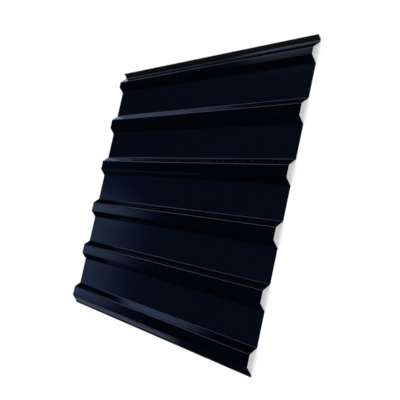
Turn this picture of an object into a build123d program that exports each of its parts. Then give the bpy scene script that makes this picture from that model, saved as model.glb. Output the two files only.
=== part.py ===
from build123d import *
import os

# Trapezoidal steel sheet for roofs and walls, roll-formed in one piece from coated coil.
# It lies flat with its weather face up. X runs along the ribs, Y runs across them
# towards the edge with the drain groove, and Z is up from the undersides of the pans.

# Driving dimensions, in millimetres
SHEET_LENGTH = 1400.0  # along the ribs, between the square-cut ends
SHEET_THICKNESS = 0.5  # steel with its coating
RIB_COUNT = 5  # full ribs, each beside one pan
RIB_PITCH = 200.0  # from one full rib to the next
RIB_HEIGHT = 23.0  # a crest above a pan, same face to same face
CREST_WIDTH = 40.0  # flat top of a full rib, between its bends
WEB_RUN = 23.0  # width of a sloping web, seen from above
BEND_RADIUS = 3.0  # at the middle of the sheet's thickness
LAP_CREST_WIDTH = 24.0  # narrow rib beside the drain groove
GROOVE_WIDTH = 8.5  # flat floor of the drain groove
LIP_RUN = 13.0  # sloping lip outside the groove, seen from above
LIP_RISE = 13.5  # its free edge above the groove's floor
FOOT_WIDTH = 6.0  # narrow flat along the free edge of the last web


def section_corners():
    """Corners of the sheet's middle line as (y, z), from the lip to the foot.

    Each step goes on from the last corner by its own width, and the pans take
    what the crests and the webs leave of the pitch.
    """
    low = SHEET_THICKNESS / 2
    high = low + RIB_HEIGHT
    pan_width = RIB_PITCH - CREST_WIDTH - 2 * WEB_RUN
    drain_groove = [(LIP_RUN, low), (GROOVE_WIDTH, low)]
    lap_rib = [(WEB_RUN, high), (LAP_CREST_WIDTH, high)]
    pan_and_rib = [(WEB_RUN, low), (pan_width, low), (WEB_RUN, high), (CREST_WIDTH, high)]
    last_web = [(WEB_RUN, low), (FOOT_WIDTH, low)]
    steps = drain_groove + lap_rib + pan_and_rib * RIB_COUNT + last_web

    y = sum(width for width, _ in steps) / 2
    corners = [(y, low + LIP_RISE)]
    for width, z in steps:
        y -= width
        corners.append((y, z))
    return corners


def profiled_sheet():
    """The middle line with its bends, thickened to both sides and carried along the ribs."""
    middle_line = FilletPolyline(*section_corners(), radius=BEND_RADIUS)
    section = Plane.YZ * trace(middle_line, SHEET_THICKNESS)
    return extrude(section, amount=SHEET_LENGTH / 2, both=True)


os.makedirs("parts", exist_ok=True)
export_step(profiled_sheet(), "parts/profiled_sheet.step")
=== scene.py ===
import math

import bpy
import numpy as np
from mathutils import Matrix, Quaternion, Vector


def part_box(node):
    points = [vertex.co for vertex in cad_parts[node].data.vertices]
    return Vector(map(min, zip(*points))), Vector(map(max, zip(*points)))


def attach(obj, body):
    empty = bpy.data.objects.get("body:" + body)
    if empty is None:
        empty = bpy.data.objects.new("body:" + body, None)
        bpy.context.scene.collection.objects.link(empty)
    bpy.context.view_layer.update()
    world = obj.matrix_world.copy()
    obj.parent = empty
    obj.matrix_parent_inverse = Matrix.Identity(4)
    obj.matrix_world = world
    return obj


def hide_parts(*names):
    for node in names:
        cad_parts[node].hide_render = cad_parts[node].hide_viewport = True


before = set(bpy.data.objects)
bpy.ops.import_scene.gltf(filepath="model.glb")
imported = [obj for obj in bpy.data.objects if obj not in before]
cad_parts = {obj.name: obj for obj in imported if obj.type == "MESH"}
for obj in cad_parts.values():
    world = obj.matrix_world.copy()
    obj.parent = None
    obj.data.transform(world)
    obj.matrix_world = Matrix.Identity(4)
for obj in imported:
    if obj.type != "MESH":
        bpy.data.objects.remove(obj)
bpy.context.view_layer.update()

# A trapezoidal steel sheet, coil-coated dark navy, lies flat on a pale studio floor.
# Lengths are in metres and the axes are the frame's: X along the ribs, Y across them
# towards the drain groove, Z up from the undersides of the pans.

SHEET_LOW, SHEET_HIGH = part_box("profiled_sheet")

# The sheet, as it was roll-formed
SHEET_THICKNESS = 0.0005
RIB_COUNT = 5
RIB_PITCH = 0.200
RIB_HEIGHT = 0.023
CREST_WIDTH = 0.040
WEB_RUN = 0.023  # width of a sloping web, seen from above
BEND_RADIUS = 0.003  # at the middle of the thickness
LAP_CREST_WIDTH = 0.024  # narrow rib beside the drain groove
GROOVE_WIDTH = 0.0085
LIP_RUN = 0.013  # width of the sloping lip, seen from above
LIP_RISE = 0.0135
FOOT_WIDTH = 0.006  # flat along the free edge of the last web

# How finely its surface is drawn
BEND_STEPS = 8  # along each bend
FLAT_STEPS = 5  # across each flat between two bends
STATION_COUNT = 121  # along the ribs

# Thin wide flats never leave the rolls dead flat: they stay very slightly wavy
WAVE_HEIGHT = 0.00003
WAVE_FADE = 0.060  # to nothing at the long edges
WAVE_LENGTHS = ((0.61, 0.173), (0.37, 0.229), (0.83, 0.097))  # along and across the ribs
WAVE_PHASE_RATIO = 2.3  # a wave's phase across the ribs, over its phase along them

# The camera, found from the photograph's perspective, taken as 400 x 400
CAMERA_PLACE = Vector((2.5490, -0.2086, 1.4549))
CAMERA_AIM = Vector((0.18781, -0.01539, 0.0))
CAMERA_ROLL = math.radians(75.423)  # clockwise from level, looking along the line of sight
CAMERA_LENS = 67.486
SENSOR_WIDTH = 36.0

# The coil coat on the weather face
PAN_NAVY = "#050a14"
# Painted shade: a darker navy on the ribs than in the pans, for the shading that light gives them
RIB_PAINTED_SHADE = "#020409"
RIB_PAINTED_SHADE_FROM = 2 * BEND_RADIUS  # height on a web where the pan's navy has given way to it
# Painted reflection: a neutral dark grey on the lip, for the light that the lip mirrors
LIP_PAINTED_REFLECTION_GREY = "#151617"
PAINT_IOR = 1.5  # of this coat and of the one on the back
COIL_COAT_SPECULAR = 0.15  # plain polyester has 0.5, but this coat mirrors its lights fainter
FLAT_ROUGHNESS = 0.09
WEB_ROUGHNESS = 0.05
WEB_GLOSS_TO = 1.5 * BEND_RADIUS  # both in height, from the crest or the pan beside the web
FLAT_GLOSS_FROM = 0.5 * BEND_RADIUS
STREAK_SPACING = 0.004  # the coater roll's faint lines, across the strip
STREAK_LENGTH = 0.400
STREAK_NOISE = (0.5, 0.8)  # its middle value, where a streak starts, and its highest
STREAK_ROUGHNESS = 0.012
ORANGE_PEEL_SIZE = 0.0025
ORANGE_PEEL_DEPTH = 0.000001

# The coat on the back
BACK_GREY = "#8c8f90"
BACK_PALE_GREY = "#989b9a"
BACK_CLOUD_SIZE = 0.060
BACK_ROUGHNESS = (0.5, 0.62)  # between the clouds and in them
BACK_GRAIN_SIZE = 0.0012
BACK_GRAIN_DEPTH = 0.000004

# The cut edge, about half of it torn and half of it smeared with zinc by the shear
TORN_STEEL = "#5c5f61"
SMEARED_ZINC = "#8e9396"
TORN_ROUGHNESS = 0.6
SMEARED_ROUGHNESS = 0.35
SMEAR_NOISE = (0.4, 0.6)  # the values between which torn turns to smeared
TEAR_SIZE = 0.0003
TEAR_DEPTH = 0.00001

# Order of the three finishes on the sheet
WEATHER_FACE, BACK, CUT_EDGE = range(3)

# The floor, which turns from matt to mirror as the look along it grows more glancing.
# The two turning points are 1 less the sine of the look's angle to the floor.
FLOOR_HALF_SIDE = 40.0
FLOOR_WHITE = "#fcfcfc"
PURE_WHITE = "#ffffff"  # of its lacquer's mirror and its glow, and of the lights below
FLOOR_ROUGHNESS = 0.04
FLOOR_MATT_TO = 0.76
FLOOR_MIRROR_FROM = 0.86
FLOOR_GLOW = 0.5  # share of its white, to the camera, that shines from within

# One wide soft ceiling over pale walls, which are brighter along their foot, and a black
# wall across the -X end, which keeps the coat dark. All angles are in degrees, and an
# edge is half the width of a soft step.
CEILING_FROM = 55.0  # above the horizon
CEILING_EDGE = 6.0
CEILING_STRENGTH = 2.4
WALL_FOOT_TO = 12.0  # above the horizon
WALL_FOOT_EDGE = 5.0
WALL_FOOT_STRENGTH = 0.9
WALL_STRENGTH = 0.4
BLACK_WALL_FROM = 130.0  # from +X
BLACK_WALL_EDGE = 5.0
BLACK_WALL_STRENGTH = 0.001

# Daylight panels, which the glossy coat mirrors. Every flat strip of the sheet mirrors
# one angle round the X axis, and each place along it one angle from the axis. So a panel
# runs between two angles round the axis, from +Y over the top, and two angles from +X.
# Each of the four is the angle and half the width of its soft step, both in degrees, and
# then comes the strength. A panel stands under its colour and is named for what mirrors it.
COOL_DAYLIGHT = "#a0bfff"
PALE_DAYLIGHT = "#c4d8ff"
FRINGE_COLOUR = "#0048ff"
FRINGE_BELOW = 0.5  # the strength under which a soft edge turns to the fringe's colour
PANELS = {
    COOL_DAYLIGHT: {
        "third_pan_to_fifth_crest": ((81.5, 5.5), (101.6, 0.7), (153.5, 2.7), (162.0, 3.0), 0.54),
        "third_crest": ((84.9, 0.6), (86.7, 0.6), (153.2, 3.0), (162.0, 3.0), 0.9),
        "fourth_crest": ((92.7, 0.6), (94.5, 0.6), (153.2, 3.0), (162.0, 3.0), 0.6),
        "fifth_crest": ((100.3, 0.5), (102.3, 0.4), (153.2, 3.0), (162.0, 3.0), 0.9),
        "first_rising_web": ((18.5, 0.5), (22.5, 0.5), (147.0, 4.2), (160.0, 2.0), 1.35),
        "second_rising_web": ((12.2, 0.5), (14.6, 0.5), (153.1, 1.7), (160.0, 2.0), 1.15),
        "fifth_rising_web": ((9.5, 0.4), (10.9, 0.4), (146.4, 2.2), (152.0, 1.0), 1.2),
    },
    PALE_DAYLIGHT: {
        "drain_groove": ((60.0, 1.0), (63.0, 0.3), (136.0, 2.0), (144.3, 0.8), 4.4),
        "bends_of_the_rising_webs": ((30.0, 3.0), (48.0, 3.0), (135.0, 2.0), (153.9, 0.9), 6.0),
        "free_web": ((164.6, 0.5), (167.5, 0.4), (147.4, 1.1), (160.0, 2.0), 0.72),
    },
}


# Nodes, colours and objects


# Sockets of a Mix node for colours, by number because several of them share a name
MIX_SHARE, MIX_FROM, MIX_TO = 0, 6, 7
MIXED = 2


def linear(hex_colour):
    """sRGB hex to linear RGBA: below 0.04045 a straight line, above it the 2.4 power curve."""
    channels = np.array([int(hex_colour[i:i + 2], 16) for i in (1, 3, 5)]) / 255
    curve = ((channels + 0.055) / 1.055) ** 2.4
    return (*np.where(channels <= 0.04045, channels / 12.92, curve).tolist(), 1.0)


def add_node(tree, kind, inputs=None, **settings):
    """Adds one node, gives it its settings, and sets or links each of its inputs."""
    added = tree.nodes.new(kind)
    for name, value in settings.items():
        setattr(added, name, value)
    for socket, value in (inputs or {}).items():
        if isinstance(value, bpy.types.NodeSocket):
            tree.links.new(value, added.inputs[socket])
        else:
            added.inputs[socket].default_value = value
    return added


def new_material(name):
    """An empty node material and its tree."""
    material = bpy.data.materials.new(name)
    material.use_nodes = True
    material.node_tree.nodes.clear()
    return material, material.node_tree


def add_object(name, data):
    """A new object at the origin, put in the scene."""
    added = bpy.data.objects.new(name, data)
    bpy.context.scene.collection.objects.link(added)
    return added


# Finishes


def polyester_coil_coat():
    """Glossy polyester coil coating, dark navy, rolled on the strip and baked before forming.

    To the eye: almost black until it mirrors a light, with clean edges to what it mirrors.
    The pans keep the strip's navy. The ribs take a darker navy, which is painted shade,
    and the lip, at the strip's edge, a neutral dark grey, which is a painted reflection.
    The coater roll leaves faint lines of lesser gloss along the strip, and the baking a
    very fine orange peel.
    """
    material, tree = new_material("navy_polyester_coil_coat")
    place = add_node(tree, "ShaderNodeTexCoord").outputs["Object"]
    split = add_node(tree, "ShaderNodeSeparateXYZ", {"Vector": place})
    height = split.outputs["Z"]
    # Painted shade: from just above the pans, the ribs turn a darker navy
    rib_painted_shade = add_node(
        tree, "ShaderNodeMapRange",
        {"Value": height, "From Min": SHEET_THICKNESS, "From Max": RIB_PAINTED_SHADE_FROM},
        interpolation_type="SMOOTHSTEP",
    )
    colour = add_node(
        tree, "ShaderNodeMix",
        {
            MIX_SHARE: rib_painted_shade.outputs["Result"],
            MIX_FROM: linear(PAN_NAVY),
            MIX_TO: linear(RIB_PAINTED_SHADE),
        },
        data_type="RGBA",
    )
    # Painted reflection: the lip turns a neutral dark grey, for the light it mirrors
    lip_corner = SHEET_HIGH[1] - LIP_RUN
    lip_painted_reflection = add_node(
        tree, "ShaderNodeMapRange",
        {"Value": split.outputs["Y"], "From Min": lip_corner, "From Max": lip_corner + BEND_RADIUS},
        interpolation_type="SMOOTHSTEP",
    )
    colour = add_node(
        tree, "ShaderNodeMix",
        {
            MIX_SHARE: lip_painted_reflection.outputs["Result"],
            MIX_FROM: colour.outputs[MIXED],
            MIX_TO: linear(LIP_PAINTED_REFLECTION_GREY),
        },
        data_type="RGBA",
    )

    # Webs and flats: a smooth step in the distance from half the rib's height
    half_height = (RIB_HEIGHT + SHEET_THICKNESS) / 2
    from_middle = add_node(
        tree, "ShaderNodeMath", {0: height, 1: half_height}, operation="SUBTRACT"
    )
    from_middle = add_node(
        tree, "ShaderNodeMath", {0: from_middle.outputs[0]}, operation="ABSOLUTE"
    )
    gloss = add_node(
        tree, "ShaderNodeMapRange",
        {
            "Value": from_middle.outputs[0],
            "From Min": RIB_HEIGHT / 2 - WEB_GLOSS_TO,
            "From Max": RIB_HEIGHT / 2 - FLAT_GLOSS_FROM,
            "To Min": WEB_ROUGHNESS,
            "To Max": FLAT_ROUGHNESS,
        },
        interpolation_type="SMOOTHSTEP",
    )

    # Noise drawn out along the ribs, added where it stands above its own middle value
    stretched = add_node(
        tree, "ShaderNodeMapping",
        {"Vector": place, "Scale": (1 / STREAK_LENGTH, 1 / STREAK_SPACING, 1 / STREAK_SPACING)},
    )
    streak = add_node(
        tree, "ShaderNodeTexNoise",
        {"Vector": stretched.outputs["Vector"], "Scale": 1.0, "Detail": 2.0},
    )
    streak = add_node(
        tree, "ShaderNodeMapRange",
        {
            "Value": streak.outputs["Fac"],
            "From Min": STREAK_NOISE[0],
            "From Max": STREAK_NOISE[1],
            "To Max": STREAK_ROUGHNESS,
        },
    )
    roughness = add_node(
        tree, "ShaderNodeMath",
        {0: gloss.outputs["Result"], 1: streak.outputs["Result"]},
        operation="ADD",
    )

    peel = add_node(
        tree, "ShaderNodeTexNoise", {"Vector": place, "Scale": 1 / ORANGE_PEEL_SIZE, "Detail": 1.0}
    )
    bump = add_node(
        tree, "ShaderNodeBump", {"Height": peel.outputs["Fac"], "Distance": ORANGE_PEEL_DEPTH}
    )
    shader = add_node(
        tree, "ShaderNodeBsdfPrincipled",
        {
            "Base Color": colour.outputs[MIXED],
            "Roughness": roughness.outputs[0],
            "IOR": PAINT_IOR,
            "Specular IOR Level": COIL_COAT_SPECULAR,
            "Normal": bump.outputs["Normal"],
        },
    )
    add_node(tree, "ShaderNodeOutputMaterial", {"Surface": shader.outputs[0]})
    return material


def epoxy_back_coat():
    """Thin grey epoxy back coat, rolled on and baked.

    To the eye: an even matt grey with broad pale clouds where the film is thicker, and
    a fine grain from the roll, which takes off the shine.
    """
    material, tree = new_material("grey_epoxy_back_coat")
    place = add_node(tree, "ShaderNodeTexCoord").outputs["Object"]
    cloud = add_node(
        tree, "ShaderNodeTexNoise", {"Vector": place, "Scale": 1 / BACK_CLOUD_SIZE, "Detail": 3.0}
    )
    colour = add_node(
        tree, "ShaderNodeMix",
        {
            MIX_SHARE: cloud.outputs["Fac"],
            MIX_FROM: linear(BACK_GREY),
            MIX_TO: linear(BACK_PALE_GREY),
        },
        data_type="RGBA",
    )
    roughness = add_node(
        tree, "ShaderNodeMapRange",
        {
            "Value": cloud.outputs["Fac"],
            "To Min": BACK_ROUGHNESS[0],
            "To Max": BACK_ROUGHNESS[1],
        },
    )
    grain = add_node(
        tree, "ShaderNodeTexNoise", {"Vector": place, "Scale": 1 / BACK_GRAIN_SIZE, "Detail": 1.0}
    )
    bump = add_node(
        tree, "ShaderNodeBump", {"Height": grain.outputs["Fac"], "Distance": BACK_GRAIN_DEPTH}
    )
    shader = add_node(
        tree, "ShaderNodeBsdfPrincipled",
        {
            "Base Color": colour.outputs[MIXED],
            "Roughness": roughness.outputs["Result"],
            "IOR": PAINT_IOR,
            "Normal": bump.outputs["Normal"],
        },
    )
    add_node(tree, "ShaderNodeOutputMaterial", {"Surface": shader.outputs[0]})
    return material


def sheared_zinc_steel():
    """Zinc-coated steel, sheared: a hairline of bare metal between two paint films.

    To the eye: dull torn steel, broken by brighter spots where the blade smeared the zinc.
    """
    material, tree = new_material("sheared_zinc_steel_edge")
    place = add_node(tree, "ShaderNodeTexCoord").outputs["Object"]
    tear = add_node(
        tree, "ShaderNodeTexNoise", {"Vector": place, "Scale": 1 / TEAR_SIZE, "Detail": 2.0}
    )
    smear = add_node(
        tree, "ShaderNodeMapRange",
        {
            "Value": tear.outputs["Fac"],
            "From Min": SMEAR_NOISE[0],
            "From Max": SMEAR_NOISE[1],
        },
    )
    colour = add_node(
        tree, "ShaderNodeMix",
        {
            MIX_SHARE: smear.outputs["Result"],
            MIX_FROM: linear(TORN_STEEL),
            MIX_TO: linear(SMEARED_ZINC),
        },
        data_type="RGBA",
    )
    roughness = add_node(
        tree, "ShaderNodeMapRange",
        {
            "Value": smear.outputs["Result"],
            "To Min": TORN_ROUGHNESS,
            "To Max": SMEARED_ROUGHNESS,
        },
    )
    bump = add_node(
        tree, "ShaderNodeBump", {"Height": tear.outputs["Fac"], "Distance": TEAR_DEPTH}
    )
    shader = add_node(
        tree, "ShaderNodeBsdfPrincipled",
        {
            "Base Color": colour.outputs[MIXED],
            "Roughness": roughness.outputs["Result"],
            "Metallic": 1.0,
            "Normal": bump.outputs["Normal"],
        },
    )
    add_node(tree, "ShaderNodeOutputMaterial", {"Surface": shader.outputs[0]})
    return material


# The sheet


def section_corners():
    """Corners of the middle line as rows of (y, z), from the lip's free edge to the foot's.

    Each step goes on from the last corner by its own width, to its own height, and the
    pans take what the crests and the webs leave of the pitch.
    """
    low = SHEET_THICKNESS / 2
    high = low + RIB_HEIGHT
    pan_width = RIB_PITCH - CREST_WIDTH - 2 * WEB_RUN
    drain_groove = [(LIP_RUN, low), (GROOVE_WIDTH, low)]
    lap_rib = [(WEB_RUN, high), (LAP_CREST_WIDTH, high)]
    pan_and_rib = [(WEB_RUN, low), (pan_width, low), (WEB_RUN, high), (CREST_WIDTH, high)]
    last_web = [(WEB_RUN, low), (FOOT_WIDTH, low)]
    steps = np.array(drain_groove + lap_rib + pan_and_rib * RIB_COUNT + last_web)
    half_width = steps[:, 0].sum() / 2
    y = half_width - np.concatenate([[0.0], np.cumsum(steps[:, 0])])
    z = np.concatenate([[low + LIP_RISE], steps[:, 1]])
    return np.stack([y, z], axis=1)


def bent_middle_line(corners):
    """Points along the middle line and the direction each faces, both as rows of (y, z).

    A run between two corners points along an angle. At a corner the facing angle turns
    evenly from the one run's to the next's on a circle of the bend radius, whose centre
    is on the inside of the turn, radius / cos(half the turn) from the corner. A flat is
    cut evenly between the ends of its two bends.
    """
    runs = np.diff(corners, axis=0)
    facing = np.arctan2(-runs[:, 0], runs[:, 1])
    turn = np.diff(facing)
    side = np.sign(turn)[:, None]
    middle = facing[:-1] + turn / 2
    inwards = -side * np.stack([np.cos(middle), np.sin(middle)], axis=1)
    centres = corners[1:-1] + inwards * BEND_RADIUS / np.cos(turn / 2)[:, None]

    share = np.linspace(0, 1, BEND_STEPS + 1)
    angle = facing[:-1, None] + turn[:, None] * share
    bend_normals = np.stack([np.cos(angle), np.sin(angle)], axis=2)
    bends = centres[:, None] + side[:, None] * BEND_RADIUS * bend_normals

    starts = np.concatenate([corners[:1], bends[:, -1]])
    ends = np.concatenate([bends[:, 0], corners[-1:]])
    between = np.linspace(0, 1, FLAT_STEPS + 1)[None, :, None]
    flats = starts[:, None] + (ends - starts)[:, None] * between
    flat_normals = np.stack([np.cos(facing), np.sin(facing)], axis=1)
    flat_normals = np.repeat(flat_normals[:, None], FLAT_STEPS + 1, axis=1)

    # Each flat keeps its own end points, and the bend after it gives only the points between
    points = np.concatenate([flats[:-1], bends[:, 1:-1]], axis=1).reshape(-1, 2)
    normals = np.concatenate([flat_normals[:-1], bend_normals[:, 1:-1]], axis=1).reshape(-1, 2)
    return np.concatenate([points, flats[-1]]), np.concatenate([normals, flat_normals[-1]])


def waviness(stations, across, height):
    """How far the sheet stands off its true form: a sum of long sine waves, times the height.

    It leans down on the crests and up in the pans, and fades out towards the two long
    edges, so the sheet stays in its own box.
    """
    wave = sum(
        np.sin(math.tau * stations[:, None] / along + phase)
        * np.sin(math.tau * across[None, :] / over + WAVE_PHASE_RATIO * phase)
        for phase, (along, over) in enumerate(WAVE_LENGTHS, start=1)
    ) / len(WAVE_LENGTHS)
    level = 2 * height / RIB_HEIGHT - 1
    from_edge = np.minimum(across, across[-1] - across)
    return WAVE_HEIGHT * (wave - level) * np.clip(from_edge / WAVE_FADE, 0, 1)


def sheet_rings():
    """The bent line, half a thickness to each side, carried along the ribs.

    At every station the upper face's points and then the lower face's, taken back the
    other way, make one ring. Normals are the bends' own directions, tilted by the slope
    of the waviness. Both come back as one row of rings along the ribs.
    """
    line, facing = bent_middle_line(section_corners())
    stations = np.linspace(SHEET_LOW[0], SHEET_HIGH[0], STATION_COUNT)
    along_line = np.concatenate([[0.0], np.cumsum(np.linalg.norm(np.diff(line, axis=0), axis=1))])
    wave = waviness(stations, along_line, line[:, 1] - SHEET_THICKNESS / 2)
    slope_along = np.gradient(wave, stations, axis=0)
    slope_across = np.gradient(wave, along_line, axis=1)

    up = np.zeros((STATION_COUNT, len(line), 3))
    up[..., 1:] = facing
    forward = np.stack([-facing[:, 1], facing[:, 0]], axis=1)
    normals = up.copy()
    normals[..., 0] -= slope_along
    normals[..., 1:] -= slope_across[..., None] * forward
    normals /= np.linalg.norm(normals, axis=2, keepdims=True)

    middle = np.zeros_like(up)
    middle[..., 0] = stations[:, None]
    middle[..., 1:] = line
    middle += up * wave[..., None]
    half = up * SHEET_THICKNESS / 2
    ring_points = np.concatenate([middle + half, (middle - half)[:, ::-1]], axis=1)
    ring_normals = np.concatenate([normals, -normals[:, ::-1]], axis=1)
    return ring_points, ring_normals


def ring_faces(around):
    """Faces over rings of so many points, each face with its finish.

    Rings side by side are joined all round by four-sided faces, and at both ends the
    upper points are joined to the lower ones across the thickness.
    """
    count = around // 2
    ring = np.arange(around)
    after = (ring + 1) % around
    first = np.arange(STATION_COUNT - 1)[:, None] * around
    walls = np.stack(
        [first + ring, first + after, first + around + after, first + around + ring], axis=2
    ).reshape(-1, 4)
    on_weather_face = ring < count - 1
    on_back = (ring >= count) & (ring < around - 1)
    wall_finish = np.select([on_weather_face, on_back], [WEATHER_FACE, BACK], CUT_EDGE)

    upper = np.arange(count - 1)
    lower = around - 1 - upper
    start_cap = np.stack([upper, lower, lower - 1, upper + 1], axis=1)
    end_cap = start_cap[:, ::-1] + (STATION_COUNT - 1) * around
    cap_finish = np.full(len(start_cap) + len(end_cap), CUT_EDGE)
    faces = np.concatenate([walls, start_cap, end_cap])
    return faces, np.concatenate([np.tile(wall_finish, STATION_COUNT - 1), cap_finish])


def profiled_sheet(face_coat, back_coat, cut_edge):
    """The whole sheet as one closed surface: its rings, with faces between and at the ends.

    A coated face takes the sheet's own normals, and a cut edge stays flat.
    """
    ring_points, ring_normals = sheet_rings()
    faces, finish = ring_faces(ring_points.shape[1])

    mesh = bpy.data.meshes.new("coated_sheet")
    mesh.from_pydata(ring_points.reshape(-1, 3), [], faces)
    for material in (face_coat, back_coat, cut_edge):
        mesh.materials.append(material)
    mesh.polygons.foreach_set("material_index", finish.astype(np.int32))
    mesh.polygons.foreach_set("use_smooth", finish != CUT_EDGE)
    mesh.update()

    corner_normals = ring_normals.reshape(-1, 3)[faces]
    flat_normals = np.zeros((len(faces), 3), np.float32)
    mesh.polygons.foreach_get("normal", flat_normals.reshape(-1))
    cut = finish == CUT_EDGE
    corner_normals[cut] = flat_normals[cut][:, None]
    mesh.normals_split_custom_set(corner_normals.reshape(-1, 3))

    piece = add_object("coated_sheet", mesh)
    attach(piece, "root")
    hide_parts("profiled_sheet")


# The studio


def pale_floor():
    """A wide floor of white lacquered board, level at the undersides of the pans.

    To the eye: matt and plain from above, with shadows that stay pale because part of its
    white shines from within, as on a light table. At a glancing look its lacquer mirrors
    the walls instead, so the webs beside it show little of its white.
    """
    material, tree = new_material("white_lacquered_board")
    facing = add_node(tree, "ShaderNodeLayerWeight", {"Blend": 0.5})
    gloss = add_node(
        tree, "ShaderNodeMapRange",
        {"Value": facing.outputs["Facing"], "From Min": FLOOR_MATT_TO, "From Max": FLOOR_MIRROR_FROM},
        interpolation_type="SMOOTHSTEP",
    )
    board = add_node(tree, "ShaderNodeBsdfDiffuse", {"Color": linear(FLOOR_WHITE)})
    glow = add_node(tree, "ShaderNodeEmission", {"Color": linear(PURE_WHITE), "Strength": 1.0})
    to_camera = add_node(tree, "ShaderNodeLightPath").outputs["Is Camera Ray"]
    glow_share = add_node(
        tree, "ShaderNodeMath", {0: to_camera, 1: FLOOR_GLOW}, operation="MULTIPLY"
    )
    board = add_node(
        tree, "ShaderNodeMixShader",
        {0: glow_share.outputs[0], 1: board.outputs[0], 2: glow.outputs[0]},
    )
    lacquer = add_node(
        tree, "ShaderNodeBsdfGlossy", {"Color": linear(PURE_WHITE), "Roughness": FLOOR_ROUGHNESS}
    )
    shader = add_node(
        tree, "ShaderNodeMixShader",
        {0: gloss.outputs["Result"], 1: board.outputs[0], 2: lacquer.outputs[0]},
    )
    add_node(tree, "ShaderNodeOutputMaterial", {"Surface": shader.outputs[0]})

    mesh = bpy.data.meshes.new("floor")
    corners = np.array([(-1, -1, 0), (1, -1, 0), (1, 1, 0), (-1, 1, 0)]) * FLOOR_HALF_SIDE
    mesh.from_pydata(corners, [], [(0, 1, 2, 3)])
    mesh.materials.append(material)
    floor = add_object("floor", mesh)


def walls_and_ceiling(tree, elevation, from_x):
    """Strength of the white light by direction, as a chain of smooth steps.

    It starts at the walls' foot and goes up the walls, round to the black wall, and then
    up to the ceiling. Each Map Range node carries the one before it as its lower value.
    """
    light = WALL_FOOT_STRENGTH
    for angle, edge, softness, strength in (
        (elevation, WALL_FOOT_TO, WALL_FOOT_EDGE, WALL_STRENGTH),
        (from_x, BLACK_WALL_FROM, BLACK_WALL_EDGE, BLACK_WALL_STRENGTH),
        (elevation, CEILING_FROM, CEILING_EDGE, CEILING_STRENGTH),
    ):
        step = add_node(
            tree, "ShaderNodeMapRange",
            {
                "Value": angle,
                "From Min": math.radians(edge - softness),
                "From Max": math.radians(edge + softness),
                "To Min": light,
                "To Max": strength,
            },
            interpolation_type="SMOOTHSTEP",
        )
        light = step.outputs["Result"]
    return light


def panel_glow(tree, round_x, from_x, panel):
    """Strength of one panel by direction: its own, times a smooth step at each of its edges.

    Each Map Range node carries the one before it as its upper value.
    """
    round_from, round_to, x_from, x_to, glow = panel
    for angle, (edge, softness), inwards in (
        (round_x, round_from, 1),
        (round_x, round_to, -1),
        (from_x, x_from, 1),
        (from_x, x_to, -1),
    ):
        step = add_node(
            tree, "ShaderNodeMapRange",
            {
                "Value": angle,
                "From Min": math.radians(edge - inwards * softness),
                "From Max": math.radians(edge + inwards * softness),
                "To Max": glow,
            },
            interpolation_type="SMOOTHSTEP",
        )
        glow = step.outputs["Result"]
    return glow


def studio_light():
    """The world by direction: ceiling, pale walls, black end wall and the daylight panels."""
    world = bpy.data.worlds.new("studio")
    bpy.context.scene.world = world
    world.use_nodes = True
    tree = world.node_tree
    tree.nodes.clear()

    direction = add_node(tree, "ShaderNodeTexCoord").outputs["Generated"]
    x, y, z = add_node(tree, "ShaderNodeSeparateXYZ", {"Vector": direction}).outputs
    elevation = add_node(tree, "ShaderNodeMath", {0: z}, operation="ARCSINE").outputs[0]
    from_x = add_node(tree, "ShaderNodeMath", {0: x}, operation="ARCCOSINE").outputs[0]
    round_x = add_node(tree, "ShaderNodeMath", {0: z, 1: y}, operation="ARCTAN2").outputs[0]

    sky = add_node(
        tree, "ShaderNodeBackground",
        {"Color": linear(PURE_WHITE), "Strength": walls_and_ceiling(tree, elevation, from_x)},
    )

    # Each colour's panels are summed and added, bluer where their soft edges fade
    for colour, panels in PANELS.items():
        glow = 0.0
        for panel in panels.values():
            lit = panel_glow(tree, round_x, from_x, panel)
            glow = add_node(tree, "ShaderNodeMath", {0: lit, 1: glow}, operation="ADD").outputs[0]
        share = add_node(tree, "ShaderNodeMapRange", {"Value": glow, "From Max": FRINGE_BELOW})
        tint = add_node(
            tree, "ShaderNodeMix",
            {
                MIX_SHARE: share.outputs["Result"],
                MIX_FROM: linear(FRINGE_COLOUR),
                MIX_TO: linear(colour),
            },
            data_type="RGBA",
        )
        daylight = add_node(
            tree, "ShaderNodeBackground", {"Color": tint.outputs[MIXED], "Strength": glow}
        )
        sky = add_node(tree, "ShaderNodeAddShader", {0: sky.outputs[0], 1: daylight.outputs[0]})
    add_node(tree, "ShaderNodeOutputWorld", {"Surface": sky.outputs[0]})


def camera():
    """Looks along the line from its place to its aim, and rolls about that line."""
    data = bpy.data.cameras.new("camera")
    data.lens = CAMERA_LENS
    data.sensor_width = SENSOR_WIDTH
    made = add_object("camera", data)
    line_of_sight = (CAMERA_AIM - CAMERA_PLACE).normalized()
    level = line_of_sight.to_track_quat("-Z", "Y")
    made.rotation_mode = "QUATERNION"
    made.rotation_quaternion = Quaternion(line_of_sight, CAMERA_ROLL) @ level
    made.location = CAMERA_PLACE
    bpy.context.scene.camera = made


camera()
profiled_sheet(polyester_coil_coat(), epoxy_back_coat(), sheared_zinc_steel())
pale_floor()
studio_light()

bpy.context.scene.view_settings.view_transform = "Standard"
